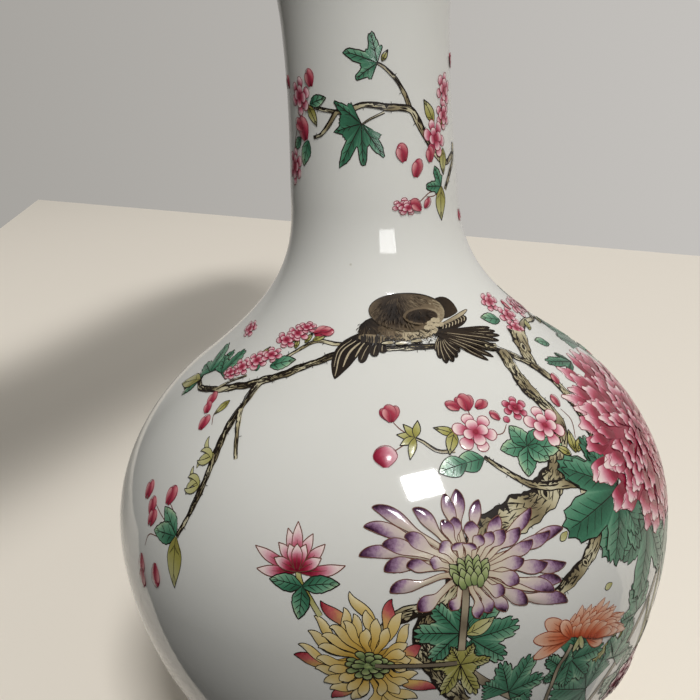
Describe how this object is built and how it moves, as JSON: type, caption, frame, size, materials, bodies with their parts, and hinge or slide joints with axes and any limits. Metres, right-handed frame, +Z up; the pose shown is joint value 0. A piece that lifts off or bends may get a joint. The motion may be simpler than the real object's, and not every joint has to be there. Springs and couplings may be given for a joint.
{
  "type": "globular vase",
  "caption": "Tall-necked globular porcelain vase, thrown in sections luted together, with a turned foot ring and painted enamel flowers.",
  "frame": {"origin": "centre of the foot ring's standing face", "axes": "+Z up along the vase's axis, +X to the right of the painted front, -Y towards the viewer of the painted front"},
  "size_m": [0.24, 0.24, 0.352],
  "materials": {
    "glazed_porcelain": "clear glaze over white porcelain, gloss",
    "biscuit": "bare fired porcelain, matt",
    "slip": "fired luting slip under glaze",
    "enamel": "overglaze enamels, slightly raised, gloss"
  },
  "bodies": {
    "root": {"foot_ring": "biscuit", "lower_globe": "glazed_porcelain", "upper_globe": "glazed_porcelain", "neck": "glazed_porcelain", "foot_luting_seam": "slip", "belly_luting_seam": "slip", "neck_luting_seam": "slip"}
  },
  "joints": []
}
